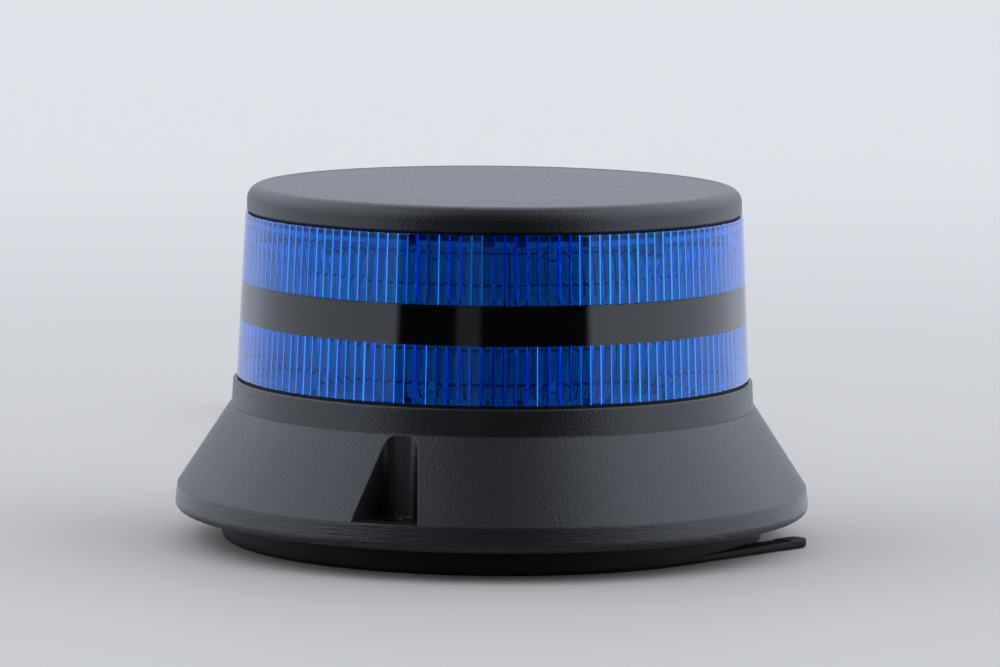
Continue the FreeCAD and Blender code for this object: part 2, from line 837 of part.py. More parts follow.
def cable_coil():
    inner, outer, height = coil_section()
    coil = ring(inner, outer, 0.0, height)
    coil = coil.makeChamfer(coil_edge_round, edges_at_level(coil, 0.0) + edges_at_level(coil, height))
    coil.translate(Vector(0, coil_centre_y, 0))
    return coil.cut(coil_tie())


# Accessory plug, made along its own axis and laid on the floor with its tip towards -X
grip_start = plug_relief_length + plug_shoulder_length
barrel_start = grip_start + plug_grip_length
nose_start = barrel_start + plug_barrel_length
nose_end = nose_start + plug_nose_length
tip_flange_end = nose_start - plug_tip_seat_gap
tip_flange_start = tip_flange_end - plug_tip_flange_thickness
fuse_end = tip_flange_start - plug_spring_length
fuse_start = fuse_end - plug_fuse_length


def laid_plug(shape):
    placed = shape.copy()
    axis = FreeCAD.Placement(Vector(*tail_points[-1]), FreeCAD.Rotation(up, Vector(-1, 0, 0)))
    placed.Placement = axis.multiply(placed.Placement)
    return placed


def plug_grip():
    outline = [(0.0, 0.0), (plug_relief_tip_radius, 0.0), (plug_relief_root_radius, plug_relief_length),
               ((plug_grip_radius - plug_shoulder_length * (1 - slant),
                 grip_start - plug_shoulder_length * slant), (plug_grip_radius, grip_start))]
    pitch = plug_grip_length / (plug_grip_ring_count + 1)
    for index in range(plug_grip_ring_count):
        middle = grip_start + (index + 1) * pitch
        low = middle - plug_grip_ring_width / 2
        high = middle + plug_grip_ring_width / 2
        outline += [(plug_grip_radius, low), (plug_grip_radius - plug_grip_ring_depth, low),
                    (plug_grip_radius - plug_grip_ring_depth, high), (plug_grip_radius, high)]
    outline += [(plug_grip_radius, barrel_start), (0.0, barrel_start)]
    return laid_plug(revolved(outline).cut(disc(plug_bore_radius, fuse_start, barrel_start)))


def contact_pocket():
    half = contact_width / 2 + contact_side_gap
    middle = barrel_start + plug_barrel_length / 2
    length = contact_length + 2 * contact_end_gap
    foot = plug_barrel_radius + contact_proud - contact_bow
    floor = foot - contact_thickness - contact_travel - contact_floor_gap
    return Part.makeBox(2 * half, plug_barrel_radius, length, Vector(-half, floor, middle - length / 2))


def plug_barrel():
    barrel = ring(plug_bore_radius, plug_barrel_radius, barrel_start, nose_start)
    return laid_plug(barrel.cut(contact_pocket()).cut(turned(contact_pocket(), 180.0)))


def plug_contact(side):
    # Bowed spring strip in its pocket
    middle = barrel_start + plug_barrel_length / 2
    crest = plug_barrel_radius + contact_proud
    foot = crest - contact_bow
    low = middle - contact_length / 2
    high = middle + contact_length / 2
    outline = [(foot, low), ((crest, middle), (foot, high)), (foot - contact_thickness, high),
               ((crest - contact_thickness, middle), (foot - contact_thickness, low))]
    strip = outline_face(outline, in_section).extrude(Vector(0, contact_width, 0))
    strip.translate(Vector(0, -contact_width / 2, 0))
    return laid_plug(turned(strip, 90.0 * side))


def plug_nose():
    nose = revolved([(0.0, nose_start), (plug_nose_radius, nose_start), (plug_nose_tip_radius, nose_end),
                     (0.0, nose_end)])
    return laid_plug(nose.cut(disc(plug_tip_radius + plug_tip_fit, nose_start, nose_end)))


def plug_tip():
    reach = nose_end + plug_tip_reach
    rounded = (plug_tip_radius * slant, reach - plug_tip_radius * (1 - slant))
    return laid_plug(revolved([(0.0, tip_flange_start), (plug_tip_flange_radius, tip_flange_start),
                               (plug_tip_flange_radius, tip_flange_end), (plug_tip_radius, tip_flange_end),
                               (plug_tip_radius, reach - plug_tip_radius), (rounded, (0.0, reach))]))


def plug_spring():
    outer = plug_bore_radius - plug_spring_fit
    return laid_plug(ring(outer - plug_spring_wall, outer, fuse_end, tip_flange_start))


def plug_fuse():
    glass = plug_fuse_radius - plug_fuse_glass_inset
    first_cap_end = fuse_start + plug_fuse_cap_length
    last_cap_start = fuse_end - plug_fuse_cap_length
    return laid_plug(revolved([(0.0, fuse_start), (plug_fuse_radius, fuse_start),
                               (plug_fuse_radius, first_cap_end), (glass, first_cap_end),
                               (glass, last_cap_start), (plug_fuse_radius, last_cap_start),
                               (plug_fuse_radius, fuse_end), (0.0, fuse_end)]))


os.makedirs("parts", exist_ok=True)
write("rubber_boot", rubber_boot())
write("pull_tab", pull_tab())
write("magnets", magnets())
write("magnet_plate", magnet_plate())
write("plate_screws", plate_screws())
write("base_cover", base_cover())
write("cover_seal", cover_seal())
write("cover_screws", cover_screws())
write("base_housing", base_housing())
write("cable_gland", cable_gland())
write("strain_relief", strain_relief())
write("inner_wires", inner_wires())
write("board_standoffs", board_standoffs())
write("driver_board", driver_board())
write("board_screws", board_screws())
write("driver_components", driver_components())
write("led_harness", led_harness())
write("heat_sink", heat_sink())
write("upper_led_board", led_board(1))
write("lower_led_board", led_board(-1))
write("upper_leds", leds(1))
write("lower_leds", leds(-1))
write("upper_reflector", reflector(1))
write("lower_reflector", reflector(-1))
write("lens_gasket", lens_gasket())
write("lens_ring", lens_ring())
write("lower_flute_ring", flute_ring(collar_top + ring_clearance, band_bottom - ring_clearance))
write("centre_band", centre_band())
write("upper_flute_ring", flute_ring(band_top + ring_clearance, lens_top - ring_clearance))
write("cap_gasket", cap_gasket())
write("top_cap", top_cap())
write("clamp_screws", clamp_screws())
write("cable_lead", cable_lead())
write("cable_coil", cable_coil())
write("coil_tie", coil_tie())
write("cable_tail", cable_tail())
write("plug_grip", plug_grip())
write("plug_barrel", plug_barrel())
write("plug_contact_left", plug_contact(1))
write("plug_contact_right", plug_contact(-1))
write("plug_nose", plug_nose())
write("plug_tip", plug_tip())
write("plug_spring", plug_spring())
write("plug_fuse", plug_fuse())
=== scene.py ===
import math

import bmesh
import bpy
from mathutils import Matrix, Vector


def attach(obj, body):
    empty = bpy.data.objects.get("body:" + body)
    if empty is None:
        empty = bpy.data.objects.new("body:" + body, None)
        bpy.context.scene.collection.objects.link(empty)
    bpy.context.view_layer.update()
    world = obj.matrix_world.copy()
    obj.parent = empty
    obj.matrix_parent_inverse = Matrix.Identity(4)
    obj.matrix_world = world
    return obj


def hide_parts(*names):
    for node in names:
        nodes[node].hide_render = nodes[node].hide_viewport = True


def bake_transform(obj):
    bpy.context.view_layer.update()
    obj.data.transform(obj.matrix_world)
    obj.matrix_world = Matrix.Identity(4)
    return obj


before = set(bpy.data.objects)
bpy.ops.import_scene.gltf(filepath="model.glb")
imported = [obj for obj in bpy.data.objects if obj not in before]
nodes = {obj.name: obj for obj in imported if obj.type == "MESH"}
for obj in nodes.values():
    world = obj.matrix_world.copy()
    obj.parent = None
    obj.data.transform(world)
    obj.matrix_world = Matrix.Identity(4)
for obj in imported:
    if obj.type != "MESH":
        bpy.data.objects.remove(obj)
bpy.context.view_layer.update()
scene = bpy.context.scene
mm = 0.001
weldReach = 1e-6  # points nearer than this, in metres, are one
print("frame loaded:", len(nodes), "nodes")


# Small helpers

def linear(hexColour):  # sRGB hex to linear colour
    channels = [int(hexColour[i:i + 2], 16) / 255 for i in (1, 3, 5)]
    return tuple(c / 12.92 if c <= 0.04045 else ((c + 0.055) / 1.055) ** 2.4 for c in channels) + (1.0,)


def addNode(tree, kind, settings=None, values=None, links=None):
    node = tree.nodes.new(kind)
    for name, value in (settings or {}).items():
        setattr(node, name, value)
    for socket, value in (values or {}).items():
        node.inputs[socket].default_value = value
    for socket, source in (links or {}).items():
        tree.links.new(source, node.inputs[socket])
    return node


def newMaterial(name, sockets):
    material = bpy.data.materials.new(name)
    material.use_nodes = True
    tree = material.node_tree
    shader = tree.nodes["Principled BSDF"]
    for socket, value in sockets.items():
        shader.inputs[socket].default_value = value
    return material, tree, shader


def perMetre(millimetres):  # texture scale for a pattern of that size
    return 1000.0 / millimetres


def outward(azimuth, radius, z):  # azimuth in degrees from the front, -Y, towards +X
    angle = math.radians(azimuth)
    return Vector((radius * math.sin(angle), -radius * math.cos(angle), z))


def eased(value, low, high):  # 0 to 1 between the two, soft at both ends
    share = min(1.0, max(0.0, (value - low) / (high - low)))
    return share * share * (3.0 - 2.0 * share)


def newPiece(name, data, material):
    piece = bpy.data.objects.new(name, data)
    scene.collection.objects.link(piece)
    data.materials.append(material)
    return piece


def loftMesh(name, rings, closed, sharpAngle):  # quads between rings of equal count, each ring closed on itself
    points = [point for ring in rings for point in ring]
    count = len(rings[0])
    spans = len(rings) if closed else len(rings) - 1
    faces = []
    for i in range(spans):
        lower = i * count
        upper = (i + 1) % len(rings) * count
        for j in range(count):
            k = (j + 1) % count
            faces.append((lower + j, lower + k, upper + k, upper + j))
    if not closed:
        faces.append(tuple(reversed(range(count))))
        faces.append(tuple(range((len(rings) - 1) * count, len(rings) * count)))
    mesh = bpy.data.meshes.new(name)
    mesh.from_pydata([tuple(point) for point in points], [], faces)
    work = bmesh.new()
    work.from_mesh(mesh)
    bmesh.ops.remove_doubles(work, verts=work.verts, dist=weldReach)
    bmesh.ops.recalc_face_normals(work, faces=work.faces)
    work.to_mesh(mesh)
    work.free()
    mesh.shade_smooth()
    mesh.set_sharp_from_angle(angle=math.radians(sharpAngle))
    return mesh


# Camera at the photograph's angle; place in mm, angles in degrees

cameraPlace = {"x": 1.548, "y": -1331.3, "z": 197.9, "pitch": 6.468, "roll": 0.555, "lens": 209.5, "sensor": 36.0}
cameraData = bpy.data.cameras.new("studioCamera")
cameraData.lens = cameraPlace["lens"]
cameraData.sensor_width = cameraPlace["sensor"]
camera = bpy.data.objects.new("studioCamera", cameraData)
scene.collection.objects.link(camera)
stand = Matrix.Translation(Vector((cameraPlace["x"], cameraPlace["y"], cameraPlace["z"])) * mm)
tilt = Matrix.Rotation(math.radians(90.0 - cameraPlace["pitch"]), 4, "X")
roll = Matrix.Rotation(math.radians(cameraPlace["roll"]), 4, "Z")
camera.matrix_world = stand @ tilt @ roll
scene.camera = camera
scene.view_settings.view_transform = "Standard"
print("camera set")


# Studio: soft white all round, dark on the camera's side; headings in degrees from the front, reaches in metres

studio = {
    "pale": "#dfe3ea", "white": "#e8f0ff",
    "sides": 1.6, "lean": 0.15,  # side walls, and how much brighter the right one is
    "back": 0.93, "backHalf": 35.0, "backSoft": 16.0,
    "rise": 0.86, "riseFrom": 0.05, "riseTo": 0.5,  # walls gain this much as the direction climbs
    "above": 0.38, "domeFrom": 0.85, "domeTo": 0.98,
    "front": 0.02, "gapHalf": 43.0, "gapSoft": 2.0, "gapLow": 0.6, "gapHigh": 0.98,
    "strip": 0.32, "stripAt": -11.0, "stripHalf": 5.0, "stripSoft": 1.5,  # faint upright strip in the dark front
    # floor colours: painted shade close to the object, paling further off as a painted falloff of light
    "floorShadedNear": "#b8b3ac", "floorLitFar": "#c9c5bd", "nearReach": 0.15, "farReach": 1.1, "floorSize": 8.0,
    "floorRoughness": 0.7, "floorSpecular": 0.2, "tableReach": 0.09,
}


def surroundLevel(tree, towards):  # how bright the room is in that direction
    axes = addNode(tree, "ShaderNodeSeparateXYZ", links={0: towards})
    level = addNode(tree, "ShaderNodeCombineXYZ", links={0: axes.outputs["X"], 1: axes.outputs["Y"]})
    heading = addNode(tree, "ShaderNodeVectorMath", {"operation": "NORMALIZE"}, links={0: level.outputs[0]})
    aside = addNode(tree, "ShaderNodeSeparateXYZ", links={0: heading.outputs[0]})

    def sector(centre, half, soft, inside, outside):  # one level within so many degrees of a heading
        near = addNode(tree, "ShaderNodeVectorMath", {"operation": "DOT_PRODUCT"}, {1: outward(centre, 1.0, 0.0)},
                       {0: heading.outputs[0]})
        limits = {"From Min": math.cos(math.radians(half + soft)), "From Max": math.cos(math.radians(half - soft)),
                  "To Min": outside, "To Max": inside}
        return addNode(tree, "ShaderNodeMapRange", {"interpolation_type": "SMOOTHSTEP"}, limits,
                       {"Value": near.outputs["Value"]}).outputs[0]

    def climb(low, high, bottom, top):  # from one level to another as the direction rises
        limits = {"From Min": low, "From Max": high, "To Min": bottom, "To Max": top}
        return addNode(tree, "ShaderNodeMapRange", {"interpolation_type": "SMOOTHSTEP"}, limits,
                       {"Value": axes.outputs["Z"]}).outputs[0]

    gap = sector(0.0, studio["gapHalf"], studio["gapSoft"], 1.0, 0.0)
    strip = sector(studio["stripAt"], studio["stripHalf"], studio["stripSoft"], studio["strip"], 0.0)
    side = sector(180.0, studio["backHalf"], studio["backSoft"], studio["back"], studio["sides"])
    dark = climb(studio["gapLow"], studio["gapHigh"], studio["front"], studio["above"])
    front = addNode(tree, "ShaderNodeMath", links={0: strip, 1: dark})
    leaning = addNode(tree, "ShaderNodeMath", {"operation": "MULTIPLY_ADD"}, {1: studio["lean"]},
                      {0: aside.outputs["X"], 2: side})
    gain = climb(studio["riseFrom"], studio["riseTo"], 0.0, studio["rise"])
    risen = addNode(tree, "ShaderNodeMath", links={0: leaning.outputs[0], 1: gain})
    walls = addNode(tree, "ShaderNodeMix", {"data_type": "FLOAT"},
                    links={0: gap, 2: risen.outputs[0], 3: front.outputs[0]})
    overhead = climb(studio["domeFrom"], studio["domeTo"], 0.0, 1.0)
    dome = addNode(tree, "ShaderNodeMix", {"data_type": "FLOAT"}, {3: studio["above"]},
                   {0: overhead, 2: walls.outputs[0]})
    return dome.outputs[0]


def studioWorld():
    world = bpy.data.worlds.new("softStudio")
    world.use_nodes = True
    tree = world.node_tree
    tree.nodes.clear()
    place = addNode(tree, "ShaderNodeTexCoord")
    light = addNode(tree, "ShaderNodeBackground", values={"Color": linear(studio["white"])},
                    links={"Strength": surroundLevel(tree, place.outputs["Generated"])})
    backdrop = addNode(tree, "ShaderNodeBackground", values={"Color": linear(studio["pale"]), "Strength": 1.0})
    ray = addNode(tree, "ShaderNodeLightPath")
    seen = addNode(tree, "ShaderNodeMixShader",
                   links={0: ray.outputs["Is Camera Ray"], 1: light.outputs[0], 2: backdrop.outputs[0]})
    addNode(tree, "ShaderNodeOutputWorld", links={"Surface": seen.outputs[0]})
    scene.world = world


def studioFloor():
    half = studio["floorSize"]
    mesh = bpy.data.meshes.new("studioFloor")
    mesh.from_pydata([(-half, -half, 0), (half, -half, 0), (half, half, 0), (-half, half, 0)], [], [(0, 1, 2, 3)])
    material, tree, shader = newMaterial("paleTabletop", {"Roughness": studio["floorRoughness"],
                                                          "Specular IOR Level": studio["floorSpecular"]})
    place = addNode(tree, "ShaderNodeTexCoord")
    reach = addNode(tree, "ShaderNodeVectorMath", {"operation": "LENGTH"}, links={0: place.outputs["Object"]})
    away = addNode(tree, "ShaderNodeMapRange", {"interpolation_type": "SMOOTHSTEP"},
                   {"From Min": studio["nearReach"], "From Max": studio["farReach"]},
                   {"Value": reach.outputs["Value"]})
    # painted shade: the floor colour is darker near the object and paler with distance
    tone = addNode(tree, "ShaderNodeMix", {"data_type": "RGBA"},
                   {6: linear(studio["floorShadedNear"]), 7: linear(studio["floorLitFar"])}, {0: away.outputs[0]})
    tree.links.new(tone.outputs[2], shader.inputs["Base Color"])
    # gloss sees the room past the edge of a small table
    past = addNode(tree, "ShaderNodeMath", {"operation": "GREATER_THAN"}, {1: studio["tableReach"]},
                   {0: reach.outputs["Value"]})
    ray = addNode(tree, "ShaderNodeLightPath")
    room = addNode(tree, "ShaderNodeMath", {"operation": "MULTIPLY"},
                   links={0: past.outputs[0], 1: ray.outputs["Is Glossy Ray"]})
    glow = addNode(tree, "ShaderNodeEmission", values={"Color": linear(studio["white"])},
                   links={"Strength": surroundLevel(tree, place.outputs["Object"])})
    both = addNode(tree, "ShaderNodeMixShader", links={0: room.outputs[0], 1: shader.outputs[0], 2: glow.outputs[0]})
    tree.links.new(both.outputs[0], tree.nodes["Material Output"].inputs["Surface"])
    floor = newPiece("studioFloor", mesh, material)


studioWorld()
studioFloor()
print("studio set")


# Materials; pattern sizes and bump depths in mm

def grainedAbs():
    # ABS moulded in an etched tool: satin black, a fine leather grain, drawn sideways on the steep rim
    look = {"colour": "#08090a", "dusty": "#101113", "cloud": 16.0, "ior": 1.5, "roughness": (0.28, 0.42),
            "grain": 0.55, "grainSoft": 0.5, "pore": 0.25, "poreShare": 0.5,
            "streakLong": 4.5, "streakHigh": 0.45, "streakShare": 6.0, "rimFrom": 12.8, "rimFull": 11.8,
            "edge": 0.4, "depth": 0.13, "strength": 0.34}
    material, tree, shader = newMaterial("grainedAbs", {"IOR": look["ior"]})
    place = addNode(tree, "ShaderNodeTexCoord")
    axes = addNode(tree, "ShaderNodeSeparateXYZ", links={0: place.outputs["Object"]})
    pebbles = addNode(tree, "ShaderNodeTexVoronoi", {"feature": "SMOOTH_F1"},
                      {"Scale": perMetre(look["grain"]), "Smoothness": look["grainSoft"]},
                      {"Vector": place.outputs["Object"]})
    pores = addNode(tree, "ShaderNodeTexNoise", values={"Scale": perMetre(look["pore"]), "Detail": 2.0},
                    links={"Vector": place.outputs["Object"]})
    leather = addNode(tree, "ShaderNodeMath", {"operation": "MULTIPLY_ADD"}, {1: look["poreShare"]},
                      {0: pores.outputs["Fac"], 2: pebbles.outputs["Distance"]})
    drawn = addNode(tree, "ShaderNodeMapping", values={"Scale": (1.0, 1.0, look["streakLong"] / look["streakHigh"])},
                    links={"Vector": place.outputs["Object"]})
    streaks = addNode(tree, "ShaderNodeTexNoise",
                      values={"Scale": perMetre(look["streakLong"]), "Detail": 3.0, "Roughness": 0.7},
                      links={"Vector": drawn.outputs[0]})
    strongStreaks = addNode(tree, "ShaderNodeMath", {"operation": "MULTIPLY"}, {1: look["streakShare"]},
                            {0: streaks.outputs["Fac"]})
    onRim = addNode(tree, "ShaderNodeMapRange", {"interpolation_type": "SMOOTHSTEP"},
                    {"From Min": look["rimFull"] * mm, "From Max": look["rimFrom"] * mm, "To Min": 1.0, "To Max": 0.0},
                    {"Value": axes.outputs["Z"]})
    relief = addNode(tree, "ShaderNodeMix", {"data_type": "FLOAT"},
                     links={0: onRim.outputs[0], 2: leather.outputs[0], 3: strongStreaks.outputs[0]})
    soft = addNode(tree, "ShaderNodeBevel", {"samples": 4}, {"Radius": look["edge"] * mm})
    bump = addNode(tree, "ShaderNodeBump", values={"Strength": look["strength"], "Distance": look["depth"] * mm},
                   links={"Height": relief.outputs[0], "Normal": soft.outputs[0]})
    cloud = addNode(tree, "ShaderNodeTexNoise", values={"Scale": perMetre(look["cloud"]), "Detail": 3.0},
                    links={"Vector": place.outputs["Object"]})
    tone = addNode(tree, "ShaderNodeMix", {"data_type": "RGBA"},
                   {6: linear(look["colour"]), 7: linear(look["dusty"])}, {0: cloud.outputs["Fac"]})
    dull = addNode(tree, "ShaderNodeMapRange",
                   values={"From Min": 0.25, "From Max": 0.75, "To Min": look["roughness"][0],
                           "To Max": look["roughness"][1]}, links={"Value": leather.outputs[0]})
    tree.links.new(tone.outputs[2], shader.inputs["Base Color"])
    tree.links.new(dull.outputs[0], shader.inputs["Roughness"])
    tree.links.new(bump.outputs[0], shader.inputs["Normal"])
    return material


def silveredAbs():
    # ABS painted silver, satin white metal; uneven bright and dull upright columns are painted into its colour as
    # reflections of light in the flutes, and darker lines at the ring steps are painted shade
    look = {"bright": "#fdfdfd", "dull": "#34373b", "metallic": 0.05, "roughness": 0.5, "glintColumn": 2.0, "lamp": 38.0,
            "dullBelow": 0.26, "brightAbove": 0.42, "steps": (69.0, 61.0, 46.4, 39.6), "step": 0.55, "stepShade": 0.75}
    material, tree, shader = newMaterial("silveredAbs", {"Metallic": look["metallic"], "Roughness": look["roughness"]})
    place = addNode(tree, "ShaderNodeTexCoord")
    axes = addNode(tree, "ShaderNodeSeparateXYZ", links={0: place.outputs["Object"]})
    heading = addNode(tree, "ShaderNodeMath", {"operation": "ARCTAN2"},
                      links={0: axes.outputs["Y"], 1: axes.outputs["X"]})
    # painted reflections: upright columns, near white or dull grey by heading
    paintedGlints = addNode(tree, "ShaderNodeTexNoise", {"noise_dimensions": "1D"},
                     {"Scale": look["lamp"] / look["glintColumn"], "Detail": 0.0}, {"W": heading.outputs[0]})
    share = addNode(tree, "ShaderNodeMapRange",
                    values={"From Min": look["dullBelow"], "From Max": look["brightAbove"]},
                    links={"Value": paintedGlints.outputs["Fac"]}).outputs[0]
    # painted shade: a darker line at each ring step
    for level in look["steps"]:
        line = addNode(tree, "ShaderNodeMath", {"operation": "COMPARE"}, {1: level * mm, 2: look["step"] / 2 * mm},
                       {0: axes.outputs["Z"]})
        share = addNode(tree, "ShaderNodeMath", {"operation": "MULTIPLY_ADD", "use_clamp": True},
                        {1: -look["stepShade"]}, {0: line.outputs[0], 2: share}).outputs[0]
    tone = addNode(tree, "ShaderNodeMix", {"data_type": "RGBA"},
                   {6: linear(look["dull"]), 7: linear(look["bright"])}, {0: share})
    tree.links.new(tone.outputs[2], shader.inputs["Base Color"])
    return material


def lensPolycarbonate():
    # clear blue polycarbonate from a polished tool: deep colour through the wall, sharp reflections on it
    look = {"colour": "#b4dcff", "gloss": "#84b8ec", "depth": "#39e3fe", "perMetre": 425.0, "ior": 1.585,
            "roughness": 0.02, "ripple": 9.0, "rippleDepth": 0.05, "rippleStrength": 0.1}
    material, tree, shader = newMaterial("lensPolycarbonate", {
        "Base Color": linear(look["colour"]), "IOR": look["ior"], "Specular Tint": linear(look["gloss"]),
        "Roughness": look["roughness"], "Transmission Weight": 1.0})
    place = addNode(tree, "ShaderNodeTexCoord")
    ripple = addNode(tree, "ShaderNodeTexNoise", values={"Scale": perMetre(look["ripple"]), "Detail": 1.0},
                     links={"Vector": place.outputs["Object"]})
    bump = addNode(tree, "ShaderNodeBump",
                   values={"Strength": look["rippleStrength"], "Distance": look["rippleDepth"] * mm},
                   links={"Height": ripple.outputs["Fac"]})
    tree.links.new(bump.outputs[0], shader.inputs["Normal"])
    dye = addNode(tree, "ShaderNodeVolumeAbsorption",
                  values={"Color": linear(look["depth"]), "Density": look["perMetre"]})
    tree.links.new(dye.outputs[0], tree.nodes["Material Output"].inputs["Volume"])
    return material


def wovenTie():
    # hook and loop webbing: a plain weave of dull threads, drawn 1.3 mm apart, coarser than real, so that it shows
    look = {"colour": "#08080a", "thread": "#1b1c1e", "roughness": 0.85, "sheen": 0.06, "sheenRoughness": 0.6,
            "pitch": 1.3, "wander": 0.6, "depth": 0.15, "strength": 0.6}
    material, tree, shader = newMaterial("wovenTie", {
        "Roughness": look["roughness"], "Sheen Weight": look["sheen"], "Sheen Roughness": look["sheenRoughness"]})
    place = addNode(tree, "ShaderNodeTexCoord")
    waveScale = perMetre(look["pitch"]) * math.pi / 10.0  # a wave texture has 20 radians to the unit
    warp, weft = [addNode(tree, "ShaderNodeTexWave", {"bands_direction": direction},
                          {"Scale": waveScale, "Distortion": look["wander"], "Detail": 1.0},
                          {"Vector": place.outputs["Object"]}) for direction in ("Y", "X")]
    weave = addNode(tree, "ShaderNodeMath", {"operation": "MULTIPLY"},
                    links={0: warp.outputs["Fac"], 1: weft.outputs["Fac"]})
    tone = addNode(tree, "ShaderNodeMix", {"data_type": "RGBA"},
                   {6: linear(look["colour"]), 7: linear(look["thread"])}, {0: weave.outputs[0]})
    bump = addNode(tree, "ShaderNodeBump", values={"Strength": look["strength"], "Distance": look["depth"] * mm},
                   links={"Height": weave.outputs[0]})
    tree.links.new(tone.outputs[2], shader.inputs["Base Color"])
    tree.links.new(bump.outputs[0], shader.inputs["Normal"])
    return material


plainFinish = {"broad": 14.0, "fineDetail": 4.0, "broadDetail": 2.0, "strength": 0.3}


def noiseFinish(name, sockets, colours, size, bumpDepth, roughness):
    # a moulded or plated surface: relief and gloss vary over that size, tone over a broader one
    material, tree, shader = newMaterial(name, sockets)
    place = addNode(tree, "ShaderNodeTexCoord")
    fine = addNode(tree, "ShaderNodeTexNoise", values={"Scale": perMetre(size), "Detail": plainFinish["fineDetail"]},
                   links={"Vector": place.outputs["Object"]})
    broad = addNode(tree, "ShaderNodeTexNoise",
                    values={"Scale": perMetre(size * plainFinish["broad"]), "Detail": plainFinish["broadDetail"]},
                    links={"Vector": place.outputs["Object"]})
    tone = addNode(tree, "ShaderNodeMix", {"data_type": "RGBA"}, {6: linear(colours[0]), 7: linear(colours[1])},
                   {0: broad.outputs["Fac"]})
    dull = addNode(tree, "ShaderNodeMapRange", values={"To Min": roughness[0], "To Max": roughness[1]},
                   links={"Value": fine.outputs["Fac"]})
    bump = addNode(tree, "ShaderNodeBump", values={"Strength": plainFinish["strength"], "Distance": bumpDepth * mm},
                   links={"Height": fine.outputs["Fac"]})
    tree.links.new(tone.outputs[2], shader.inputs["Base Color"])
    tree.links.new(dull.outputs[0], shader.inputs["Roughness"])
    tree.links.new(bump.outputs[0], shader.inputs["Normal"])
    return material


plastic = {"IOR": 1.5}
softPlastic = {"IOR": 1.53}
metal = {"Metallic": 1.0}
rubber = {"IOR": 1.5, "Specular IOR Level": 0.25}
clear = {"IOR": 1.5, "Transmission Weight": 1.0}
silicone = {"IOR": 1.45}
# name: sockets, two colours, pattern size, bump depth, roughness from and to
plainFinishes = {
    # gloss ABS, polished tool: near black with clean reflections
    "glossAbs": (plastic, ("#050506", "#0a0a0b"), 1.2, 0.004, (0.08, 0.14)),
    # natural rubber, compression moulded: deep matt black, a little bloom
    "mouldedRubber": (rubber, ("#030303", "#080808"), 0.6, 0.05, (0.55, 0.75)),
    # soft PVC, extruded: dark satin skin
    "extrudedPvc": (softPlastic, ("#0b0b0c", "#141415"), 1.1, 0.03, (0.38, 0.52)),
    # nylon, moulded: slightly satin black
    "mouldedNylon": (softPlastic, ("#101012", "#17181a"), 0.5, 0.03, (0.36, 0.5)),
    # zinc plated steel: pale grey metal with a cloudy bloom
    "zincSteel": (metal, ("#b4b7b8", "#c9cbc8"), 0.7, 0.01, (0.28, 0.42)),
    # nickel plate: warm bright metal
    "nickelPlate": (metal, ("#c2bdb1", "#d6d2c8"), 0.8, 0.006, (0.16, 0.26)),
    # turned aluminium: pale metal, slightly uneven from the tool
    "turnedAluminium": (metal, ("#c4c6c9", "#d8dadc"), 0.4, 0.012, (0.3, 0.4)),
    # screen printing ink baked on to the lens: gloss black with clean reflections
    "printedInk": (plastic, ("#030303", "#060606"), 0.6, 0.003, (0.04, 0.08)),
    # white solder mask over glass cloth: pale satin
    "whiteMask": (plastic, ("#f0f1ee", "#f8f8f5"), 0.9, 0.02, (0.3, 0.4)),
    # green solder mask over glass cloth: dark satin green
    "greenMask": (plastic, ("#0f3d22", "#155030"), 0.9, 0.02, (0.3, 0.4)),
    # silicone lens on a white ceramic body: creamy and smooth
    "ledCeramic": (silicone, ("#e6e4cf", "#f0efe2"), 0.5, 0.01, (0.2, 0.3)),
    # sleeved capacitors, choke and chips: dark satin sleeves
    "componentSleeve": (plastic, ("#16181d", "#22252b"), 0.4, 0.02, (0.3, 0.45)),
    # red PVC wire cover, extruded: dull deep red
    "redPvc": (softPlastic, ("#7c1512", "#93201a"), 0.7, 0.02, (0.35, 0.5)),
    # drawn fuse glass: clear with a faint waviness
    "fuseGlass": (clear, ("#e8efee", "#f4f8f7"), 3.0, 0.004, (0.02, 0.05)),
}
finishes = {"grainedAbs": grainedAbs(), "silveredAbs": silveredAbs(), "lensPolycarbonate": lensPolycarbonate(),
            "wovenTie": wovenTie()}
for finish, recipe in plainFinishes.items():
    finishes[finish] = noiseFinish(finish, *recipe)

dressed = {
    "grainedAbs": ["top_cap", "base_housing", "base_cover"],
    "glossAbs": ["centre_band"],
    "mouldedRubber": ["lens_gasket", "cap_gasket", "cover_seal", "cable_gland", "strain_relief"],
    "zincSteel": ["plate_screws", "cover_screws", "clamp_screws", "board_screws", "board_standoffs", "magnet_plate",
                  "plug_spring"],
    "nickelPlate": ["magnets", "plug_tip", "plug_contact_left", "plug_contact_right"],
    "turnedAluminium": ["heat_sink"],
    "whiteMask": ["upper_led_board", "lower_led_board"],
    "greenMask": ["driver_board"],
    "ledCeramic": ["upper_leds", "lower_leds"],
    "silveredAbs": ["upper_reflector", "lower_reflector"],
    "componentSleeve": ["driver_components"],
    "redPvc": ["inner_wires", "led_harness"],
    "mouldedNylon": ["plug_grip", "plug_barrel", "plug_nose"],
    "fuseGlass": ["plug_fuse"],
}
for finish, members in dressed.items():
    for member in members:
        nodes[member].data.materials.clear()
        nodes[member].data.materials.append(finishes[finish])
print("materials made:", len(finishes))


# Cable: out of the strain relief, into a tied coil behind the light, then to the plug; mm and degrees, length in metres

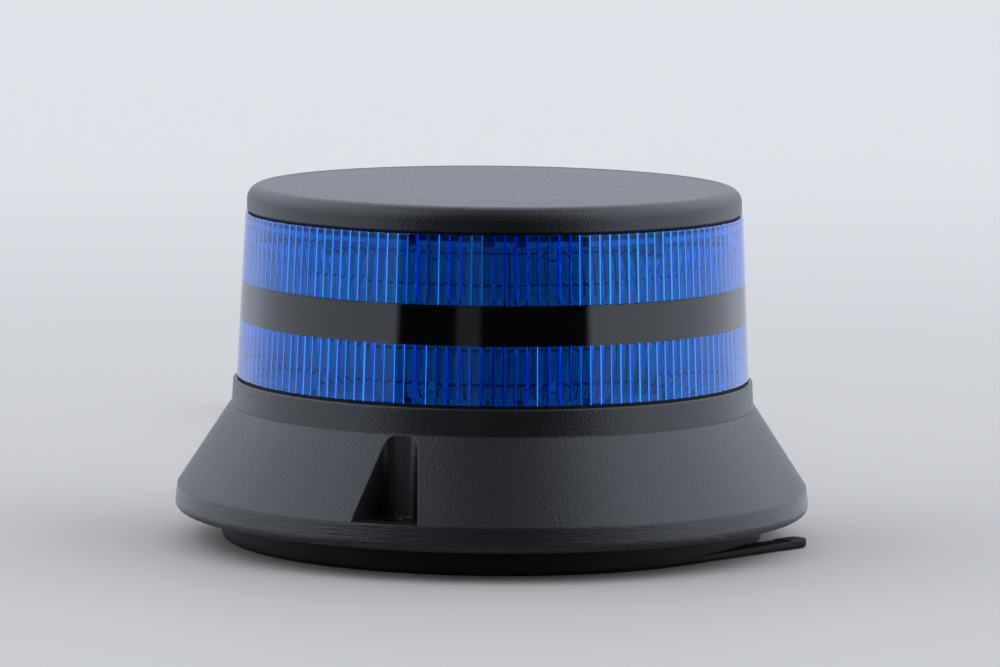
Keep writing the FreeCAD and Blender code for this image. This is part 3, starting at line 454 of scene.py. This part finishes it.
cable = {"diameter": 6.0, "length": 2.4, "exit": (161.0, 97.5, 20.0), "coilCentre": (0.0, 150.0), "turns": 5,
         "innerTurn": 24.5, "stepsPerTurn": 24, "upperZ": 9.0, "lowerZ": 3.0, "upperCross": (265.0, 325.0),
         "lowerCross": (10.0, 60.0), "startAngle": 20.0, "tieAt": 180.0, "tieLift": 0.9, "tieSpread": 13.0,
         "oval": 0.5, "ovalTurn": 0.6, "threeSided": 0.3}
leadPoints = [(36.8, 106.6, 18.9), (41.3, 119.8, 16.0), (45.2, 132.6, 12.4), (47.7, 145.3, 9.6), (48.5, 156.0, 9.0)]
tailPoints = [(52.8, 163.3, 3.0), (55.7, 177.0, 3.0), (55.2, 191.0, 3.4), (50.0, 204.0, 5.4), (40.3, 214.1, 8.6),
              (27.5, 219.8, 11.2), (14.5, 220.7, 12.0)]


def quarter(value, low, high):  # part of a quarter turn, so that crossing turns keep their distance
    share = min(1.0, max(0.0, (value - low) / (high - low)))
    return share * math.pi / 2


def coilPoint(turned, radius, z):  # degrees counterclockwise from +X about the coil's centre
    angle = math.radians(turned)
    pull = 1.0 / math.cos(math.pi / cable["stepsPerTurn"]) ** 0.5  # the spline runs inside its points
    handWound = (cable["oval"] * math.sin(2.0 * angle + cable["ovalTurn"])
                 + cable["threeSided"] * math.sin(3.0 * angle))  # so not quite round
    fromTie = (turned % 360.0 - cable["tieAt"]) / cable["tieSpread"]
    lift = cable["tieLift"] * math.exp(-fromTie * fromTie)
    reach = (radius + handWound) * pull
    centre = cable["coilCentre"]
    return (centre[0] + reach * math.cos(angle), centre[1] + reach * math.sin(angle), z + lift)


def coilPoints():
    step = 360.0 / cable["stepsPerTurn"]
    turns, across = cable["turns"], cable["diameter"]
    outer = cable["innerTurn"] + (turns - 1) * across
    drop = cable["upperZ"] - cable["lowerZ"]
    points = []
    turned = cable["startAngle"]
    while turned < 360.0 * turns - step:  # upper layer, outside to inside, then down
        lap, angle = divmod(turned, 360.0)
        crossed = quarter(angle, *cable["upperCross"])
        if lap < turns - 1:
            points.append(coilPoint(turned, outer - across * (lap + 1.0 - math.cos(crossed)), cable["upperZ"]))
        else:
            points.append(coilPoint(turned, cable["innerTurn"], cable["upperZ"] - drop * math.sin(crossed)))
        turned += step
    while turned < 360.0 * (2 * turns - 1) + step / 2:  # lower layer, inside to outside
        lap, angle = divmod(turned - 360.0 * turns, 360.0)
        laps = lap + eased(angle, *cable["lowerCross"]) if turned >= 360.0 * turns else 0.0
        points.append(coilPoint(turned, cable["innerTurn"] + across * laps, cable["lowerZ"]))
        turned += step
    return points


def cableCord():
    exitPoint = outward(*cable["exit"])
    route = [tuple(exitPoint)] + leadPoints + coilPoints() + tailPoints
    curve = bpy.data.curves.new("powerCable", "CURVE")
    curve.dimensions = "3D"
    spline = curve.splines.new("NURBS")
    spline.points.add(len(route) - 1)
    for point, place in zip(spline.points, route):
        point.co = (place[0] * mm, place[1] * mm, place[2] * mm, 1.0)
    spline.order_u = 3
    spline.use_endpoint_u = True
    spline.resolution_u = 4
    curve.bevel_depth = cable["diameter"] / 2 * mm
    curve.bevel_resolution = 5
    curve.use_fill_caps = True
    cord = newPiece("powerCable", curve, finishes["extrudedPvc"])
    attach(cord, "light")
    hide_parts("cable_lead", "cable_coil", "cable_tail")
    return cord, exitPoint * mm


powerCable, cableExit = cableCord()
print("cable laid:", len(powerCable.data.splines[0].points), "points")


# Strap that ties the coil

strap = {"width": 10.0, "thickness": 0.9, "inner": 20.9, "outer": 52.6, "bottom": 0.45, "top": 13.5, "round": 3.2,
         "cornerSteps": 6, "tuck": 6.0, "overlap": 17.0, "overlapShares": (0.3, 0.6, 0.85, 1.0), "curlUp": 0.5,
         "edge": 0.3, "edgeRise": 0.6}


def strapPath():  # middle line of the strap, across the coil at its -X side
    left, right = -strap["outer"], -strap["inner"]
    low, high, turn = strap["bottom"], strap["top"], strap["round"]
    corners = [(left + turn, high - turn, 90.0), (left + turn, low + turn, 180.0), (right - turn, low + turn, 270.0),
               (right - turn, high - turn + strap["thickness"], 360.0)]
    path = [(right - strap["tuck"], high)]
    for x, z, start in corners:
        for i in range(strap["cornerSteps"] + 1):
            angle = math.radians(start + 90.0 * i / strap["cornerSteps"])
            path.append((x + turn * math.cos(angle), z + turn * math.sin(angle)))
    for share in strap["overlapShares"]:  # loose end over the first layer
        path.append((right - turn - strap["overlap"] * share,
                     high + strap["thickness"] + strap["curlUp"] * share * share))
    return path


def coilStrap():
    path = strapPath()
    half, inset, low = strap["width"] / 2, strap["edge"], strap["edgeRise"]
    thin = strap["thickness"] / 2
    middle = cable["coilCentre"][1]
    outline = [(-half, low), (-half + inset, 1.0), (half - inset, 1.0), (half, low),
               (half, -low), (half - inset, -1.0), (-half + inset, -1.0), (-half, -low)]
    rings = []
    for i, (x, z) in enumerate(path):
        before, after = path[max(i - 1, 0)], path[min(i + 1, len(path) - 1)]
        along = Vector((after[0] - before[0], after[1] - before[1])).normalized()
        out = Vector((-along.y, along.x)) * thin
        rings.append([Vector((x + out.x * rise, middle + across, z + out.y * rise)) * mm for across, rise in outline])
    piece = newPiece("coilStrap", loftMesh("coilStrap", rings, False, 50.0), finishes["wovenTie"])
    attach(piece, "light")
    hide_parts("coil_tie")
    return piece


tieStrap = coilStrap()
print("coil tied")


# Rubber boot under the light

boot = {"radius": 62.2, "top": 6.2, "edge": 1.2, "edgeSteps": 4, "lip": 0.5, "lipShare": 0.3, "wall": 2.6,
        "plateLevel": 4.0, "midRadius": 30.0, "poleRadius": 2.0, "sides": 192}


def lathed(name, profile, sides, sharpAngle):  # profile points are radius and height in mm
    rings = [[outward(360.0 * i / sides, radius, z) * mm for i in range(sides)] for radius, z in profile]
    return loftMesh(name, rings, False, sharpAngle)


def rubberBoot():
    out, edge, lip, top = boot["radius"], boot["edge"], boot["lip"], boot["top"]
    inner = out - boot["wall"]
    part = boot["lipShare"] * lip
    plate, middle, pole = boot["plateLevel"], boot["midRadius"], boot["poleRadius"]
    profile = [(pole, 0.0), (middle, 0.0), (out - edge, 0.0)]
    for i in range(1, boot["edgeSteps"] + 1):
        angle = math.radians(90.0 * i / boot["edgeSteps"])
        profile.append((out - edge + edge * math.sin(angle), edge - edge * math.cos(angle)))
    profile += [(out, top - lip), (out - part, top - part), (out - lip, top), (inner + lip, top), (inner, top - lip)]
    profile += [(inner, plate), (middle, plate), (pole, plate)]
    piece = newPiece("rubberBoot", lathed("rubberBoot", profile, boot["sides"], 40.0), finishes["mouldedRubber"])
    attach(piece, "light")
    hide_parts("rubber_boot")


rubberBoot()
print("rubber boot made")


# Pull tab: a strip along the boot's tangent, moulded with the boot

tab = {"azimuth": 46.0, "reach": 40.6, "width": 5.0, "bottom": 0.3, "top": 2.0, "corner": 2.2, "edge": 0.5,
       "insideBoot": (3.0, 10.0, 16.0, 20.0), "fineFrom": 22.0, "fineStep": 0.5, "fineCount": 22,
       "gripFrom": 33.4, "gripRise": 0.5, "gripSwell": 0.2, "gripSteps": (0.0, 0.25, 0.5, 0.75, 1.0, 2.0, 4.0),
       "cornerAngles": range(0, 90, 9), "edgeTurns": (0, 30, 60, 90), "lastStation": 0.01,
       "bendFrom": 24.0, "bendTo": 29.0}


def tabPoint(along, across, z):  # across is measured inwards from the boot's tangent
    angle = math.radians(tab["azimuth"])
    out = boot["radius"] - across
    return Vector((out * math.sin(angle) + along * math.cos(angle),
                   -out * math.cos(angle) + along * math.sin(angle), z)) * mm


def tabStations():  # distances along the tab, close together in its middle stretch and where its shape changes
    stations = list(tab["insideBoot"])
    stations += [tab["fineFrom"] + tab["fineStep"] * i for i in range(tab["fineCount"])]
    stations += [tab["gripFrom"] + step for step in tab["gripSteps"]]
    stations += [tab["reach"] - tab["corner"] * (1.0 - math.sin(math.radians(angle))) for angle in tab["cornerAngles"]]
    stations.append(tab["reach"] - tab["lastStation"])
    return stations


def pullTab():
    middle = tab["width"] / 2
    rings = []
    for along in tabStations():
        past = max(0.0, along - (tab["reach"] - tab["corner"]))
        half = middle - tab["corner"] + math.sqrt(max(0.0, tab["corner"] ** 2 - past ** 2))
        over = max(0.0, along - (tab["reach"] - tab["edge"]))
        pinch = tab["edge"] - math.sqrt(max(0.0, tab["edge"] ** 2 - over ** 2))
        swell = tab["gripSwell"] * eased(along, tab["gripFrom"], tab["gripFrom"] + tab["gripRise"])
        low, high = tab["bottom"] + pinch - 0.5 * swell, tab["top"] - pinch + swell
        edge = tab["edge"] - 0.8 * pinch  # the edge gets sharper towards the tip, and never closes
        ring = []
        for side, level, first in ((1, high, 0), (-1, high, 90), (-1, low, 180), (1, low, 270)):
            for turn in tab["edgeTurns"]:
                angle = math.radians(first + turn)
                x = side * (half - edge) + edge * math.cos(angle)
                z = level + (edge if level == low else -edge) + edge * math.sin(angle)
                ring.append(tabPoint(along, middle - x, z))
        rings.append(ring)
    piece = newPiece("pullTab", loftMesh("pullTab", rings, False, 50.0), finishes["mouldedRubber"])
    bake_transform(piece)
    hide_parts("pull_tab")


pullTab()
print("pull tab made")


# Lens: smooth outside, fine upright flutes inside above and below the band

lens = {"bottom": 37.4, "top": 75.1, "bottomRadius": 59.04, "topRadius": 57.2, "wall": 2.4, "edge": 0.4,
        "edgeShare": 0.3, "edgeHold": 1.5, "bandBottom": 50.6, "bandTop": 59.4, "inkInset": 0.1,
        "flutes": 144, "perFlute": 12, "fluteWall": 1.0, "fluteDepth": 0.62, "uneven": 0.2,
        "sharp": 2.3, "sharpSwing": 0.5, "upperPhase": 0.0, "lowerPhase": 1.3}


def lensOuter(z):
    share = (z - lens["bottom"]) / (lens["top"] - lens["bottom"])
    return lens["bottomRadius"] + (lens["topRadius"] - lens["bottomRadius"]) * share


def lensMoulding():
    steps = lens["perFlute"]
    count = lens["flutes"] * steps
    azimuths = [360.0 * i / count for i in range(count)]

    def crown(i, phase):  # height of the flute at that point; no two flutes are cut quite alike
        flute, step = divmod(i, steps)
        swing = math.sin(flute * 2.4 + phase) * math.cos(flute * 0.77 + 2.0 * phase)
        depth = 1.0 - lens["uneven"] * (0.5 + 0.5 * swing)
        sharp = lens["sharp"] + lens["sharpSwing"] * math.sin(flute * 1.7 + 0.6 * phase)
        return lens["fluteDepth"] * depth * (1.0 - abs(2.0 * step / steps - 1.0) ** sharp)

    def plain(z, inset):
        radius = lensOuter(z) - inset
        return [outward(azimuth, radius, z) * mm for azimuth in azimuths]

    def fluted(z, phase):
        foot = lensOuter(z) - lens["wall"] - lens["fluteWall"]
        return [outward(azimuth, foot - crown(i, phase), z) * mm for i, azimuth in enumerate(azimuths)]

    edge, wall = lens["edge"], lens["wall"]
    part, hold = lens["edgeShare"] * edge, lens["edgeHold"] * edge
    low, high = lens["bottom"], lens["top"]
    bandLow, bandHigh = lens["bandBottom"], lens["bandTop"]
    rings = [plain(low, edge), plain(low + part, part), plain(low + edge, 0.0), plain(low + hold, 0.0)]
    rings += [plain(bandLow, 0.0), plain(bandHigh, 0.0), plain(high - hold, 0.0)]
    rings += [plain(high - edge, 0.0), plain(high - part, part), plain(high, edge)]
    rings += [fluted(high, lens["upperPhase"]), fluted(bandHigh, lens["upperPhase"])]
    rings += [plain(bandHigh, wall), plain(bandLow, wall)]
    rings += [fluted(bandLow, lens["lowerPhase"]), fluted(low, lens["lowerPhase"])]
    piece = newPiece("blueLens", loftMesh("blueLens", rings, True, 35.0), finishes["lensPolycarbonate"])
    piece.data.materials.append(finishes["printedInk"])
    for face in piece.data.polygons:  # ink over the plain band, outside and inside
        if bandLow + lens["inkInset"] < face.center.z / mm < bandHigh - lens["inkInset"]:
            face.material_index = 1
    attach(piece, "light")
    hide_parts("lens_ring", "upper_flute_ring", "lower_flute_ring")


lensMoulding()
print("lens made")
